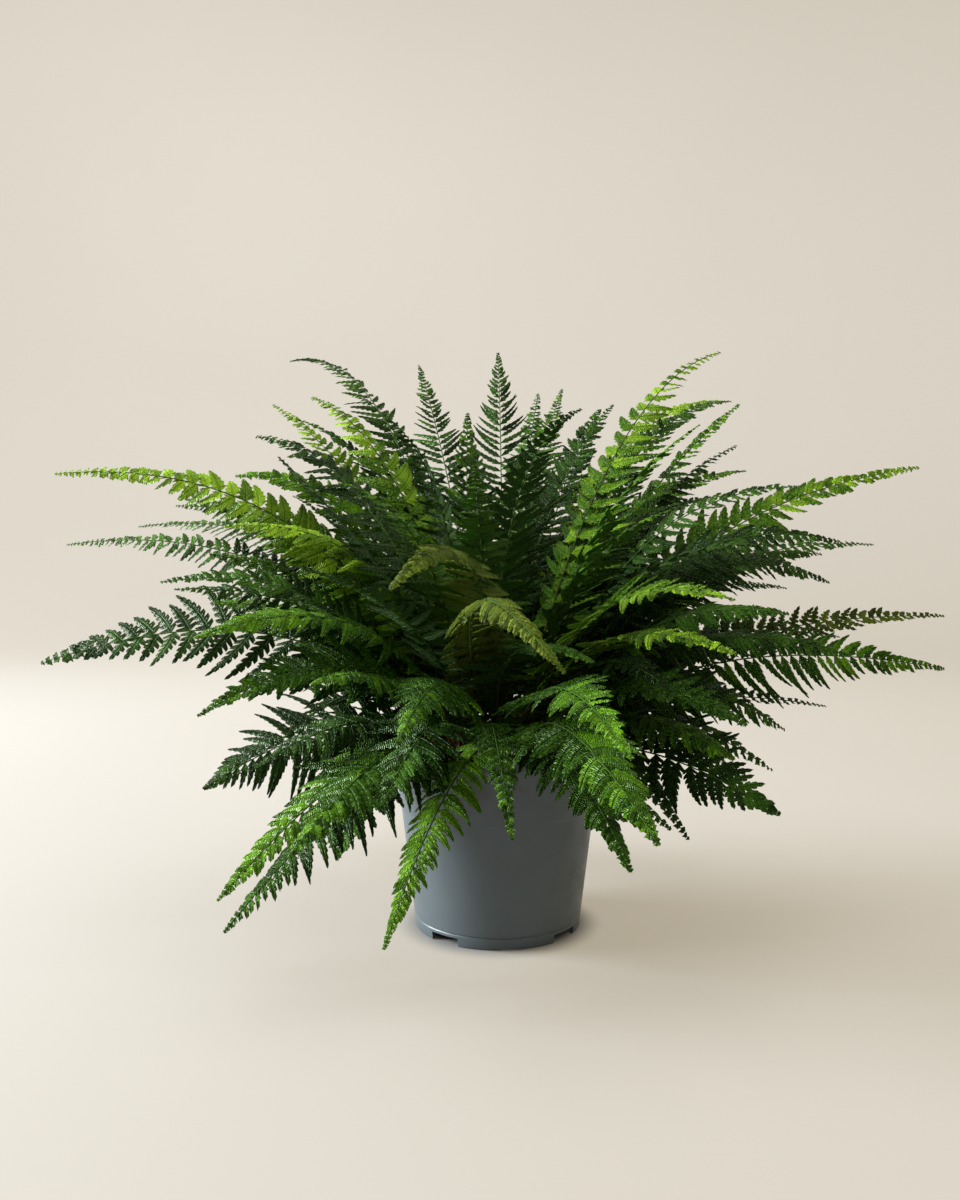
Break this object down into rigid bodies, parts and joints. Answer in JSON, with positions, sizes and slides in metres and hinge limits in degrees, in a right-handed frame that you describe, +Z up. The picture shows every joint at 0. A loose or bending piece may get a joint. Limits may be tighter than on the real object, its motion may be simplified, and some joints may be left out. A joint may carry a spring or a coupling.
{
  "type": "potted fern",
  "caption": "Bushy fern with many arching, finely cut fronds that grow from a root crown, in soil in a round tapered plastic grower's pot.",
  "frame": {"origin": "middle of the pot's foot, on the surface that the pot stands on", "axes": "+Z up along the pot's axis, -Y towards the front of the plant"},
  "size_m": [0.8506, 0.6874, 0.5384],
  "materials": {
    "pot": "matte slate grey",
    "soil": "loose dark peat",
    "crown": "rough, covered in brown scales",
    "leaf_dark": "leathery dark green with a soft gloss",
    "leaf_green": "leathery mid green with a soft gloss",
    "leaf_light": "thin young light green leaf",
    "leaf_olive": "thin yellowish olive leaf"
  },
  "bodies": {
    "root": {"pot": "pot", "soil": "soil", "crown": "crown", "frond_01": "leaf_dark", "frond_02": "leaf_dark", "frond_03": "leaf_green", "frond_04": "leaf_green", "frond_05": "leaf_green", "frond_06": "leaf_dark", "frond_07": "leaf_dark", "frond_08": "leaf_light", "frond_09": "leaf_dark", "frond_10": "leaf_dark", "frond_11": "leaf_dark", "frond_12": "leaf_green", "frond_13": "leaf_green", "frond_14": "leaf_dark", "frond_15": "leaf_green", "frond_16": "leaf_dark", "frond_17": "leaf_green", "frond_18": "leaf_dark", "frond_19": "leaf_dark", "frond_20": "leaf_dark", "frond_21": "leaf_dark", "frond_22": "leaf_olive", "frond_23": "leaf_light", "frond_24": "leaf_dark", "frond_25": "leaf_dark", "frond_26": "leaf_green", "frond_27": "leaf_green", "frond_28": "leaf_light", "frond_29": "leaf_light", "frond_30": "leaf_dark", "frond_31": "leaf_light", "frond_32": "leaf_light", "frond_33": "leaf_green", "frond_34": "leaf_green", "frond_35": "leaf_olive", "frond_36": "leaf_olive", "frond_37": "leaf_light", "frond_38": "leaf_light", "frond_39": "leaf_light", "frond_40": "leaf_dark", "frond_41": "leaf_dark", "frond_42": "leaf_green", "frond_43": "leaf_green", "frond_44": "leaf_green", "frond_45": "leaf_green", "frond_46": "leaf_green", "frond_47": "leaf_green", "frond_48": "leaf_green", "frond_49": "leaf_green", "frond_50": "leaf_dark", "frond_51": "leaf_dark", "frond_52": "leaf_dark", "frond_53": "leaf_dark", "frond_54": "leaf_green", "frond_55": "leaf_green", "frond_56": "leaf_green", "frond_57": "leaf_green"}
  },
  "joints": []
}
